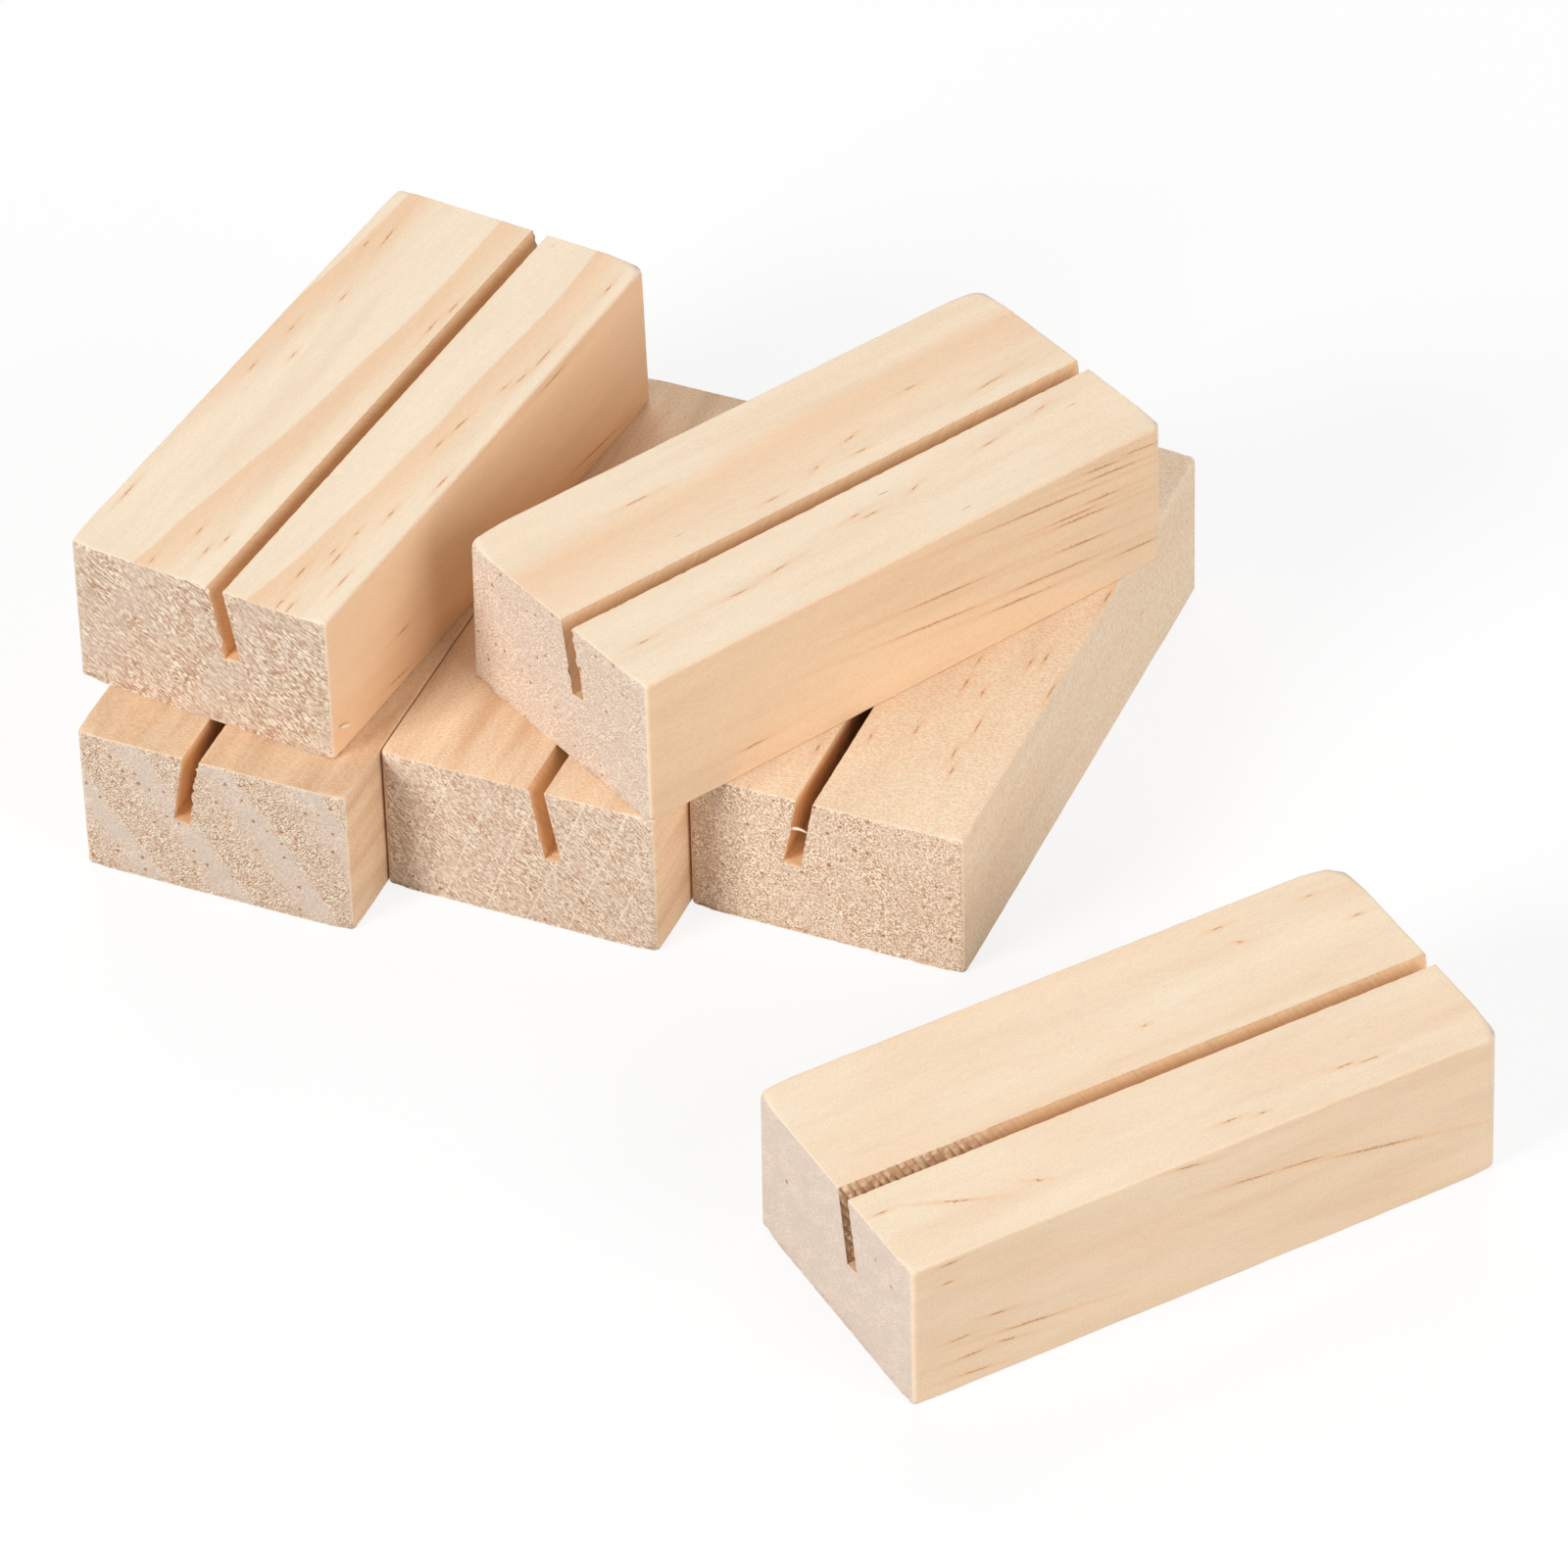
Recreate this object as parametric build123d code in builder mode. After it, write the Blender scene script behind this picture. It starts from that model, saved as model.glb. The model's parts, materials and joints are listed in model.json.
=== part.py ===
"""Wooden photo block holders: a set of six loose pine blocks with a leaning saw slot along the top of each.

A photo or a card stands in the slot. Three blocks lie side by side in a row, two lie on top of that row
and one stands by itself in front. Each block is one piece of solid wood, with nothing joined to it.

Millimetres, +Z up. The origin is the middle of the underside of the row's middle block. +Y runs along
that block, from its near end to its far end, and +X runs across the row to the right.
"""

import os
from math import cos, radians

from build123d import *

# One block, all six are cut alike
BLOCK_LENGTH = 100.0
BLOCK_WIDTH = 45.3
BLOCK_HEIGHT = 26.6
CORNER_EASE = 0.8  # sanded radius of the four upright corners
EDGE_EASE = 0.4  # sanded radius round the top and the underside

# The slot, one saw cut from end to end
SLOT_WIDTH = 2.8  # square to the walls of the cut
SLOT_DEPTH = 13.0  # straight down from the top, in the middle of the cut
SLOT_LEAN = 10.0  # degrees from upright
SLOT_FROM_LEFT = 25.9  # from the block's left side to the middle of the slot's mouth

# The lower row, where each block lies further back than the one on its left
ROW_GAP = 0.2
ROW_STAGGER = 12.2

# The upper left block, measured from the near left corner of the lower left block
UPPER_LEFT_ACROSS = -5.1
UPPER_LEFT_BACK = 12.4
UPPER_LEFT_TURN = -5.9  # degrees about +Z

# The upper right block, measured from the near left corner of the lower middle block
UPPER_RIGHT_ACROSS = 5.7
UPPER_RIGHT_BACK = 22.0
UPPER_RIGHT_TURN = -29.8  # degrees about +Z

# The front block, measured from the near right corner of the lower right block
FRONT_ACROSS = -8.0
FRONT_BACK = -62.0
FRONT_TURN = -38.2  # degrees about +Z


def lying_at(across, back, level=0, turn=0.0):
    """The plane under a block, with its origin at the block's near left corner and its x across the block."""
    return Plane(Location((across, back, level * BLOCK_HEIGHT), (0, 0, turn)))


def end_for_end(place):
    """The plane under a block that lies in the same place, turned round so that its other end is near."""
    far_right = place.from_local_coords((BLOCK_WIDTH, BLOCK_LENGTH, 0))
    return Plane(origin=far_right, x_dir=-place.x_dir, z_dir=place.z_dir)


def make_block(label, place):
    """A sanded block with its slot sawn through, lying on its place and written under its label."""
    half_way = place.from_local_coords((0, BLOCK_LENGTH / 2, 0))
    cross_section = Plane(origin=half_way, x_dir=place.x_dir, z_dir=-place.y_dir)

    with BuildPart() as block:
        with BuildSketch(place):
            Rectangle(BLOCK_WIDTH, BLOCK_LENGTH, align=(Align.MIN, Align.MIN))
        extrude(amount=BLOCK_HEIGHT)
        fillet(block.edges().filter_by(Axis.Z), radius=CORNER_EASE)
        fillet(block.faces().filter_by(Plane.XY).edges(), radius=EDGE_EASE)

        # The saw blade leans, so the floor of the cut is square to its walls and leans too.
        with BuildSketch(cross_section):
            with Locations(Location((SLOT_FROM_LEFT, BLOCK_HEIGHT), (0, 0, SLOT_LEAN))):
                Rectangle(SLOT_WIDTH, 2 * SLOT_DEPTH / cos(radians(SLOT_LEAN)))
        extrude(amount=BLOCK_LENGTH, both=True, mode=Mode.SUBTRACT)

    block.part.label = label
    export_step(block.part, f"parts/{label}.step")


# Near left corners of the lower row
row_pitch = BLOCK_WIDTH + ROW_GAP
middle_across = -BLOCK_WIDTH / 2
middle_back = -BLOCK_LENGTH / 2
left_across = middle_across - row_pitch
left_back = middle_back - ROW_STAGGER
right_across = middle_across + row_pitch
right_back = middle_back + ROW_STAGGER

lower_left = lying_at(left_across, left_back)
lower_middle = lying_at(middle_across, middle_back)
lower_right = lying_at(right_across, right_back)

upper_left = lying_at(
    left_across + UPPER_LEFT_ACROSS,
    left_back + UPPER_LEFT_BACK,
    level=1,
    turn=UPPER_LEFT_TURN,
)
upper_right = lying_at(
    middle_across + UPPER_RIGHT_ACROSS,
    middle_back + UPPER_RIGHT_BACK,
    level=1,
    turn=UPPER_RIGHT_TURN,
)
front = lying_at(
    right_across + BLOCK_WIDTH + FRONT_ACROSS,
    right_back + FRONT_BACK,
    turn=FRONT_TURN,
)

os.makedirs("parts", exist_ok=True)
make_block("lower_left_block", end_for_end(lower_left))
make_block("lower_middle_block", lower_middle)
make_block("lower_right_block", end_for_end(lower_right))
make_block("upper_left_block", upper_left)
make_block("upper_right_block", upper_right)
make_block("front_block", front)
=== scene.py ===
"""Looks of a set of loose pine photo blocks, each with a leaning saw slot along its top.

Every block is sawn by one Geometry Nodes tree, in its own frame: x across from its left side, y along
from its near end and z up from its underside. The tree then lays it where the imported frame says. Its
pine is a solid wood in that same frame, so growth rings, resin flecks and end grain agree on all faces.
"""

import json
from dataclasses import dataclass
from math import acos, atan2, cos, radians, sin

import bpy
from mathutils import Matrix, Vector


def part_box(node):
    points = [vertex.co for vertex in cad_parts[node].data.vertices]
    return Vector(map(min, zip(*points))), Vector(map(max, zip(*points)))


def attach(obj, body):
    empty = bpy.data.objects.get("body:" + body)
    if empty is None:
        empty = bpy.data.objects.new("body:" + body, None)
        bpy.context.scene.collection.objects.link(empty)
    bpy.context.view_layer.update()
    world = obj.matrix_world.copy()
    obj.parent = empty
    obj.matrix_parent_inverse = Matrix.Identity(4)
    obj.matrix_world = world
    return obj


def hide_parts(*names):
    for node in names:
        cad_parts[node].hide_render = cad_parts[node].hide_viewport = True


bl_info = {
    "name": "Pine Photo Blocks",
    "version": (1, 0, 0),
    "blender": (4, 5, 0),
    "location": "3D View > Sidebar > Photo Blocks",
    "description": "Saws slotted pine blocks that hold a photo or a card, and sets them on a plain stage",
    "category": "Object",
}

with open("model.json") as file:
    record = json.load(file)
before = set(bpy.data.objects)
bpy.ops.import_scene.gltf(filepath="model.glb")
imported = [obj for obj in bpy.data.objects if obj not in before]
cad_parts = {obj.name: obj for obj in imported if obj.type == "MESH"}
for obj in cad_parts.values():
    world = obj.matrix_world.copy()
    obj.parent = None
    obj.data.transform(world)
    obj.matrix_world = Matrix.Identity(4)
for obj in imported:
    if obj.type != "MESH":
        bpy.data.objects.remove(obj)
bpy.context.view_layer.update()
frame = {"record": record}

MM = 0.001

# Sizes that the frame gives, read on the block that lies square to it
SQUARE_BLOCK = "lower_middle"
SQUARE_LOW, SQUARE_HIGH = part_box(f"{SQUARE_BLOCK}_block")
MOUNTS = {mount["name"]: mount for mount in frame["record"]["mounts"]}
SQUARE_SLOT = MOUNTS[f"{SQUARE_BLOCK}_slot"]

# How many strips the block's surface is divided into
LEFT_STRIPS = 62  # top, left of the slot
RIGHT_STRIPS = 46  # top, right of the slot
WALL_STRIPS = 22  # down each wall of the slot
FLOOR_STRIPS = 8  # across the slot's floor
LOW_STRIPS = 28  # up the ends and sides, below the slot's floor
ALONG_STRIPS = 170
ACROSS_STRIPS = LEFT_STRIPS + RIGHT_STRIPS + 2 * WALL_STRIPS + FLOOR_STRIPS
UP_STRIPS = LOW_STRIPS + WALL_STRIPS
CROWDING = 1.3  # more than 1 draws the strips towards the block's edges
NEAR_ZONE = 24 * MM  # length at the near end that the strips along the block crowd into
FAR_ZONE = 10 * MM
NEAR_SHARE = 0.42  # shares of those strips up to each zone's edge
FAR_SHARE = 0.86
WELD = 1e-6
CREASE = radians(50)  # edges that bend more than this stay sharp

# Wear that is the same on every block
WEAR_LUMP = 7 * MM  # over which an edge is eased more or less
CORNER_SPREAD = 1.5 * MM, 4 * MM  # a corner's rounding: full up to the first, gone past the second
RIM_HEIGHT = 1.3 * MM  # how far up the ends the saw broke out
SCRATCH_DEPTH = 0.1 * MM
FIBRE_RADIUS = 0.055 * MM
FIBRE_INSET = 0.3 * MM  # from an end's plane to a loose fibre's middle

# Lumps of the wood's noise, in millimetres across, along and up
RING_WANDER = 22, 26, 22
STREAK = 4, 40, 4
DASH = 0.3, 2.2, 0.3
CLOUD = 9, 32, 9
SANDER_RIPPLE = 0.6, 0.24, 0.6
PORE = 0.22, 0.5, 0.22
SPECK = 0.38  # the same on each axis
DUCT_SPACING = 2.6, 24  # resin ducts across the grain and along it
BORE_SPACING = 2.2  # the same ducts on the ends

# The same on the ends, along the torn strokes, along the block and across the strokes
END_PATCH = 6, 9, 2.5
BRUSHED = 0.75, 4, 0.19

# Azimuth, to the right of the row's near end, elevation and breadth of the soft lights
LEFT_LIGHT = radians(-30), radians(27), 0.8
RIGHT_LIGHT = radians(75), radians(25), 1.4
BACK_LIGHT = radians(-155), radians(40), 1.4
LIGHT_DISTANCE = 2.1

# The floor and the camera
FLOOR_REACH = 6.0
FLOOR_GLOW = 1.25  # strength of the white that the floor shows
FLOOR_GLOW_SHARE = 0.65  # the rest is matt and keeps the shadow
SENSOR_WIDTH = 36.0
VIEW_REACH = 50.0


def paint(red, green, blue):
    """A colour that is written as it shows on a screen, 0 to 255, in the linear form that Blender keeps."""
    shares = (value / 255 for value in (red, green, blue))
    return tuple(s / 12.92 if s <= 0.04045 else ((s + 0.055) / 1.055) ** 2.4 for s in shares)


@dataclass
class Fleck:
    """A resin streak that shows on a face, in millimetres from the block's near left corner."""

    along: float
    across: float  # from the left on the top, and down from the top on a side
    length: float
    slant: float = 0.0  # millimetres across for each millimetre along


@dataclass
class Timber:
    """The stick that one block was sawn from, and how the saw and the sander left it."""

    seed: int
    ring_heading: float  # degrees in the cross section, from across towards up, that the tree grew
    ring_pitch: float  # millimetres
    ring_start: float  # millimetres along the heading, where a ring ends at the near end
    ring_drift: float = 0.0  # millimetres that the rings shift over the block's length
    ring_twist: float = 0.0  # change of that shift for each millimetre across
    ring_sag: float = 0.0  # millimetres that the rings bow at mid-length
    ring_edge: float = 0.5  # millimetres over which a ring ends
    ring_contrast: float = 0.6
    late_share: float = 0.45  # share of a ring that is late wood
    tan_share: float = 0.0  # how far the pale wood leans towards the dark: tan wood, and painted shade on a block that lies in shade
    warmth: float = 0.0  # how far all of it leans towards peach
    cloudiness: float = 0.25
    streaks: float = 0.15  # tan streaks along the faces
    nap: float = 0.04  # rough fibre on the planed faces
    face_light: float = 1.0  # brightness of the planed faces, which also paints light or shade over a whole block
    side_warmth: float = 0.4  # how far the right side leans towards peach
    side_tan: float = 0.0  # how far the right side leans towards tan, partly painted shade where a close neighbour shades it
    duct_share: float = 0.4  # share of the resin ducts that show on the faces
    stroke_lean: float = -50.0  # degrees of the torn fibres on the ends
    hatch: float = 0.5  # how far the torn fibre lies in lines
    fuzz: float = 1.0  # torn fibre on the ends
    end_rings: float = 0.4  # how much smoother and greyer the late wood is on the ends
    end_grey: float = 0.0  # how far the whole of each end leans towards grey
    end_light: float = 1.0  # brightness of the ends
    end_dots: float = 0.15  # share of the resin ducts that show as dots on the ends
    ring_line: float = 0.0  # pale line on the ends where a ring begins
    lip_hair: float = 1.0  # loose fibre along the slot's lips
    saw_slant: float = 0.6  # millimetres along for each millimetre down, of the saw's marks
    chatter: float = 0.0  # millimetres that the blade tore the slot's left wall at the near end
    burrs: tuple = (0.1, 0.1)  # millimetres, on the slot's left and right walls where they meet the ends
    knocks: tuple = (0.0, 0.0, 0.0, 0.0)  # millimetres, corners near left, near right, far left, far right
    splinter: tuple = ()  # three points of a larger splinter, in millimetres
    top_flecks: tuple = ()
    side_flecks: tuple = ()


TIMBERS = {
    "upper_left": Timber(
        seed=3,
        ring_heading=155,
        ring_pitch=19.0,
        ring_start=1.9,
        ring_drift=11.6,
        ring_twist=-0.2,
        ring_sag=1.9,
        side_warmth=0.7,
        # Painted shade on the right side, which upper_right stands close beside
        side_tan=0.35,
        duct_share=0.55,
        stroke_lean=-35,
        fuzz=0.85,
        end_light=0.84,
        end_dots=0.03,
        ring_line=0.2,
        saw_slant=1.4,
        burrs=(0.6, 0.1),
        knocks=(0.8, 0.4, 0.2, 1.8),
        splinter=((45.2, 2.0, 5.0), (46.6, 2.6, 5.8), (46.0, 4.6, 4.4)),
        top_flecks=(
            Fleck(1.5, 36.5, 3), Fleck(1.5, 38.3, 3), Fleck(9.5, 35.5, 4), Fleck(10.5, 42.2, 4),
            Fleck(15, 38.7, 4), Fleck(16, 37.4, 2), Fleck(21.5, 38.3, 2), Fleck(28, 40.6, 3),
            Fleck(38, 43.7, 4), Fleck(46, 38.6, 3), Fleck(51.5, 39.1, 5, 0.08), Fleck(63, 40.6, 3, 0.1),
            Fleck(66, 41.8, 4, 0.1), Fleck(72, 42.3, 6), Fleck(92, 42.7, 3), Fleck(2, 13.8, 2),
            Fleck(11, 16.6, 2.5), Fleck(7.5, 20, 2), Fleck(11.5, 21.3, 2.5), Fleck(71, 22.8, 5),
            Fleck(77, 23.4, 4), Fleck(14.5, 1.8, 5), Fleck(50, 2.9, 2.5), Fleck(61, 3.4, 2.5),
            Fleck(55, 7.1, 2), Fleck(71.5, 6.6, 2), Fleck(85, 2.8, 3), Fleck(88, 5, 6, -0.08),
        ),
        side_flecks=(
            Fleck(70, 1.4, 9), Fleck(22, 16.8, 5, 0.06), Fleck(20, 24.6, 8, 0.1),
            Fleck(82, 24, 20, 0.1),
        ),
    ),
    "upper_right": Timber(
        seed=11,
        ring_heading=172,
        ring_pitch=60.0,
        ring_start=-5.5,
        ring_drift=-4.5,
        ring_edge=4.0,
        ring_contrast=0.5,
        late_share=0.3,
        tan_share=0.08,
        side_warmth=0.75,
        duct_share=0.8,
        stroke_lean=35,
        hatch=0.35,
        fuzz=0.5,
        end_rings=0.0,
        end_grey=0.9,
        end_light=0.93,
        end_dots=0.16,
        lip_hair=3.0,
        saw_slant=-0.9,
        burrs=(0.1, 0.5),
        knocks=(2.0, 0.3, 1.6, 1.0),
        top_flecks=(
            Fleck(6.5, 36.6, 2.5), Fleck(24.5, 36.5, 4), Fleck(33, 35.7, 5, -0.08),
            Fleck(49.5, 33, 3, -0.1), Fleck(51.5, 34.2, 3), Fleck(60.7, 33.4, 2.5, -0.3),
            Fleck(76.7, 32, 3.5, -0.1), Fleck(88, 30.3, 2.5, -0.2), Fleck(26, 9, 5),
            Fleck(60.5, 17.5, 3, -0.15), Fleck(60, 21, 2.5), Fleck(75.5, 13.5, 3),
            Fleck(86, 20.3, 6, -0.1), Fleck(42, 21.8, 3), Fleck(52, 20, 2, -0.3),
        ),
        side_flecks=(
            Fleck(76, 4.4, 28, 0.09), Fleck(88, 2.4, 9, 0.1), Fleck(90, 4.2, 12, 0.1),
            Fleck(96, 2.6, 9, 0.12), Fleck(82, 9.0, 11, 0.08), Fleck(84, 10.2, 14, 0.09),
            Fleck(88, 8.2, 8, 0.08), Fleck(57, 11.5, 18, 0.08), Fleck(84, 15.2, 12, 0.1),
            Fleck(55, 16.2, 20, 0.11), Fleck(78, 18.4, 20, 0.09), Fleck(72, 20.2, 16, 0.1),
            Fleck(95, 21.6, 10, 0.07), Fleck(20, 21.8, 6),
        ),
    ),
    "front": Timber(
        seed=23,
        ring_heading=165,
        ring_pitch=30.0,
        ring_start=-9.0,
        ring_drift=12.0,
        ring_edge=8.0,
        ring_contrast=0.2,
        tan_share=0.12,
        cloudiness=0.7,
        nap=0.1,
        duct_share=0.3,
        stroke_lean=38,
        fuzz=0.14,
        end_rings=0.1,
        end_grey=0.85,
        end_light=0.92,
        end_dots=0.025,
        chatter=0.5,
        burrs=(0.1, 0.3),
        knocks=(1.4, 0.4, 2.6, 1.8),
        top_flecks=(
            Fleck(76.5, 4, 2.5), Fleck(77.5, 8.3, 1.5, 0.4), Fleck(92, 4.7, 1.8), Fleck(96, 12, 1.5),
            Fleck(56, 17, 1.2), Fleck(2.8, 32.2, 2.5), Fleck(13.5, 35.6, 7, 0.4),
            Fleck(26, 37.8, 2, 0.4), Fleck(56, 41, 3), Fleck(61, 42, 1.5), Fleck(76.5, 39.4, 3.5),
            Fleck(80.5, 40.1, 3.5),
        ),
        side_flecks=(
            Fleck(57.5, 8.7, 9, 0.12), Fleck(66, 9.6, 9, 0.12), Fleck(79, 12.6, 18, 0.2),
            Fleck(14.5, 14.7, 4, 0.1), Fleck(8, 16.7, 4), Fleck(20, 19.2, 12, 0.1), Fleck(10, 20.8, 6),
            Fleck(16, 20.8, 4, 0.15), Fleck(10.5, 24.4, 5, 0.1), Fleck(46.5, 1.2, 5, 0.15),
            Fleck(6.5, 1.2, 3), Fleck(6, 4.8, 2),
        ),
    ),
    "lower_left": Timber(
        seed=31,
        ring_heading=146,
        ring_pitch=12.3,
        ring_start=1.5,
        ring_drift=3.0,
        ring_edge=0.25,
        ring_contrast=0.35,
        late_share=0.75,
        # Tan and the lower face brightness below are partly painted shade, as lower_left's top lies under
        # upper_left
        tan_share=0.45,
        warmth=0.4,
        streaks=0.9,
        nap=0.5,
        face_light=0.92,
        side_warmth=0.6,
        duct_share=0.8,
        stroke_lean=145,
        hatch=0.25,
        end_rings=0.85,
        end_light=0.86,
        end_dots=0.22,
        ring_line=0.35,
        burrs=(0.5, 0.1),
        knocks=(0.5, 0.3, 0.6, 0.4),
    ),
    "lower_middle": Timber(
        seed=43,
        ring_heading=-22,
        ring_pitch=6.5,
        ring_start=2.0,
        ring_drift=-3.0,
        ring_edge=2.0,
        ring_contrast=0.8,
        warmth=0.45,
        streaks=1.0,
        nap=0.6,
        side_warmth=0.8,
        duct_share=0.3,
        stroke_lean=-40,
        hatch=0.4,
        fuzz=0.85,
        end_rings=0.3,
        end_light=0.91,
        end_dots=0.03,
        ring_line=0.55,
        burrs=(0.5, 0.1),
        knocks=(0.4, 0.6, 0.5, 0.4),
    ),
    "lower_right": Timber(
        seed=57,
        ring_heading=82,
        ring_pitch=30.0,
        ring_start=-6.0,
        ring_drift=4.0,
        ring_edge=4.0,
        ring_contrast=0.2,
        cloudiness=0.6,
        nap=0.6,
        face_light=1.03,
        side_warmth=0.3,
        duct_share=0.6,
        stroke_lean=35,
        hatch=0.2,
        fuzz=0.95,
        end_rings=0.1,
        end_dots=0.1,
        burrs=(0.1, 0.25),
        knocks=(0.6, 0.5, 0.4, 0.8),
        splinter=((28.9, 99.4, 19.9), (27.3, 99.5, 21.2), (25.6, 99.4, 20.1)),
        top_flecks=(
            Fleck(74, 8, 4), Fleck(81, 9, 3), Fleck(85, 7.8, 2.5), Fleck(57, 6, 2.5),
            Fleck(55, 4.2, 3.5), Fleck(62, 0.6, 5), Fleck(38, 0.7, 4), Fleck(82, 22.3, 2),
            Fleck(87.5, 28.8, 2.5), Fleck(78, 16.4, 2.5), Fleck(65, 13.4, 3), Fleck(59, 13.6, 2),
            Fleck(66, 10.2, 2),
        ),
    ),
}


class Wire:
    """An output socket. Arithmetic on it adds Math nodes to its tree."""

    def __init__(self, sheet, socket):
        self.sheet = sheet
        self.socket = socket

    def math(self, operation, *values):
        return self.sheet.add("ShaderNodeMath", {"operation": operation}, dict(enumerate(values)))

    def __add__(self, other):
        return self.math("ADD", self, other)

    def __sub__(self, other):
        return self.math("SUBTRACT", self, other)

    def __rsub__(self, other):
        return self.math("SUBTRACT", other, self)

    def __mul__(self, other):
        return self.math("MULTIPLY", self, other)

    def __truediv__(self, other):
        return self.math("DIVIDE", self, other)

    def __rtruediv__(self, other):
        return self.math("DIVIDE", other, self)

    def __pow__(self, other):
        return self.math("POWER", self, other)

    def __abs__(self):
        return self.math("ABSOLUTE", self)

    def __lt__(self, other):
        return self.math("LESS_THAN", self, other)

    def __gt__(self, other):
        return self.math("GREATER_THAN", self, other)

    __radd__ = __add__
    __rmul__ = __mul__

    def least(self, other):
        return self.math("MINIMUM", self, other)

    def most(self, other):
        return self.math("MAXIMUM", self, other)

    def function(self, operation):
        return self.math(operation, self)

    def over(self, low, high, easing="LINEAR"):
        """0 up to low, 1 from high, and a straight or an eased rise between."""
        return self.sheet.add(
            "ShaderNodeMapRange",
            {"interpolation_type": easing, "clamp": True},
            {"Value": self, "From Min": low, "From Max": high},
        )

    def eased(self, low, high):
        return self.over(low, high, "SMOOTHSTEP")


class Sheet:
    """A node tree, with one way to add a node to it."""

    def __init__(self, tree):
        self.tree = tree

    def add(self, kind, settings=None, sockets=None, output=0):
        """Adds a node. Its settings come first, then a value, a wire or a list of wires for each socket."""
        node = self.tree.nodes.new(kind)
        for name, value in (settings or {}).items():
            setattr(node, name, value)
        for key, value in (sockets or {}).items():
            for wire in value if isinstance(value, list) else [value]:
                if isinstance(wire, Wire):
                    self.tree.links.new(wire.socket, node.inputs[key])
                else:
                    node.inputs[key].default_value = wire
        if isinstance(output, tuple):
            return tuple(Wire(self, node.outputs[key]) for key in output)
        return Wire(self, node.outputs[output]) if node.outputs else None

    def vector(self, operation, *values, output="Vector"):
        return self.add("ShaderNodeVectorMath", {"operation": operation}, dict(enumerate(values)), output)

    def scaled(self, vector, factor):
        return self.add("ShaderNodeVectorMath", {"operation": "SCALE"}, {"Vector": vector, "Scale": factor})

    def xyz(self, x, y, z):
        return self.add("ShaderNodeCombineXYZ", None, {"X": x, "Y": y, "Z": z})

    def split(self, vector):
        return self.add("ShaderNodeSeparateXYZ", None, {"Vector": vector}, (0, 1, 2))

    def mix(self, factor, first, second):
        """A mix of two colours. Sockets 0, 6 and 7 are the factor and the colours."""
        colours = [c if isinstance(c, Wire) else (*c, 1) for c in (first, second)]
        return self.add("ShaderNodeMix", {"data_type": "RGBA"}, {0: factor, 6: colours[0], 7: colours[1]}, 2)

    def noise(self, vector, seed, detail=2.0, roughness=0.5):
        """Even noise with lumps of about one unit, from 0 to 1."""
        apart = self.xyz(seed * 7.3, seed * 3.1, seed * 5.7)
        place = self.vector("ADD", vector, apart)
        sockets = {"Vector": place, "Scale": 1.0, "Detail": detail, "Roughness": roughness}
        return self.add("ShaderNodeTexNoise", None, sockets)

    def lumps(self, axes, size, seed, detail=2.0, roughness=0.5):
        """The same noise, with lumps of a size of their own on each axis."""
        return self.noise(self.xyz(*(a / s for a, s in zip(axes, size))), seed, detail, roughness)

    def cells(self, settings, place):
        """How far a place is from the middle of its cell, and that cell's own random colour."""
        sockets = {"Vector": place, "Scale": 1.0}
        return self.add("ShaderNodeTexVoronoi", settings, sockets, ("Distance", "Color"))

    def attribute(self, name):
        """A value that the block's tree stored on the mesh, read in a material."""
        return self.add("ShaderNodeAttribute", {"attribute_name": name}, None, "Fac")

    def stored(self, name):
        """The same value, read in a geometry tree."""
        return self.add("GeometryNodeInputNamedAttribute", {"data_type": "FLOAT"}, {"Name": name})

    def store(self, geometry, name, domain, value):
        settings = {"data_type": "FLOAT", "domain": domain}
        sockets = {"Geometry": geometry, "Name": name, "Value": value}
        return self.add("GeometryNodeStoreNamedAttribute", settings, sockets)

    def chance(self, low, high, seed):
        """A random number for each point. Sockets 2 and 3 are its range, and output 1 the number."""
        sockets = {2: low, 3: high, "Seed": seed}
        return self.add("FunctionNodeRandomValue", {"data_type": "FLOAT"}, sockets, 1)

    def swept(self, spine, scale, sides, radius):
        """A closed rod of a few sides along a curve, as thick as its scale says, kept as loose fibre."""
        spine = self.add("GeometryNodeSetCurveRadius", None, {"Curve": spine, "Radius": scale})
        profile = self.add("GeometryNodeCurvePrimitiveCircle", None, {"Resolution": sides, "Radius": radius})
        sockets = {"Curve": spine, "Profile Curve": profile, "Scale": scale, "Fill Caps": True}
        return self.store(self.add("GeometryNodeCurveToMesh", None, sockets), "loose_fibre", "POINT", 1.0)

    def interface(self, *inputs):
        for name, kind, subtype in inputs:
            item = self.tree.interface.new_socket(name, in_out="INPUT", socket_type=f"NodeSocket{kind}")
            if subtype:
                item.subtype = subtype
        self.tree.interface.new_socket("Geometry", in_out="OUTPUT", socket_type="NodeSocketGeometry")
        node = self.tree.nodes.new("NodeGroupInput")
        return {name: Wire(self, node.outputs[name]) for name, _, _ in inputs}


def resting_place(name):
    """The near left corner of a block's underside and its turn about up, from the mount at its slot."""
    mouth = Vector(MOUNTS[f"{name}_slot"]["pos_m"])
    lean = Vector(MOUNTS[f"{name}_slot"]["axis"])
    across = Vector((-lean.x, -lean.y, 0)).normalized()
    along = Vector((-across.y, across.x, 0))
    size = bpy.context.scene.photo_blocks.block
    corner = mouth - across * size.slot_from_left - along * size.length / 2
    corner.z -= size.height
    return corner, atan2(across.y, across.x)


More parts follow.
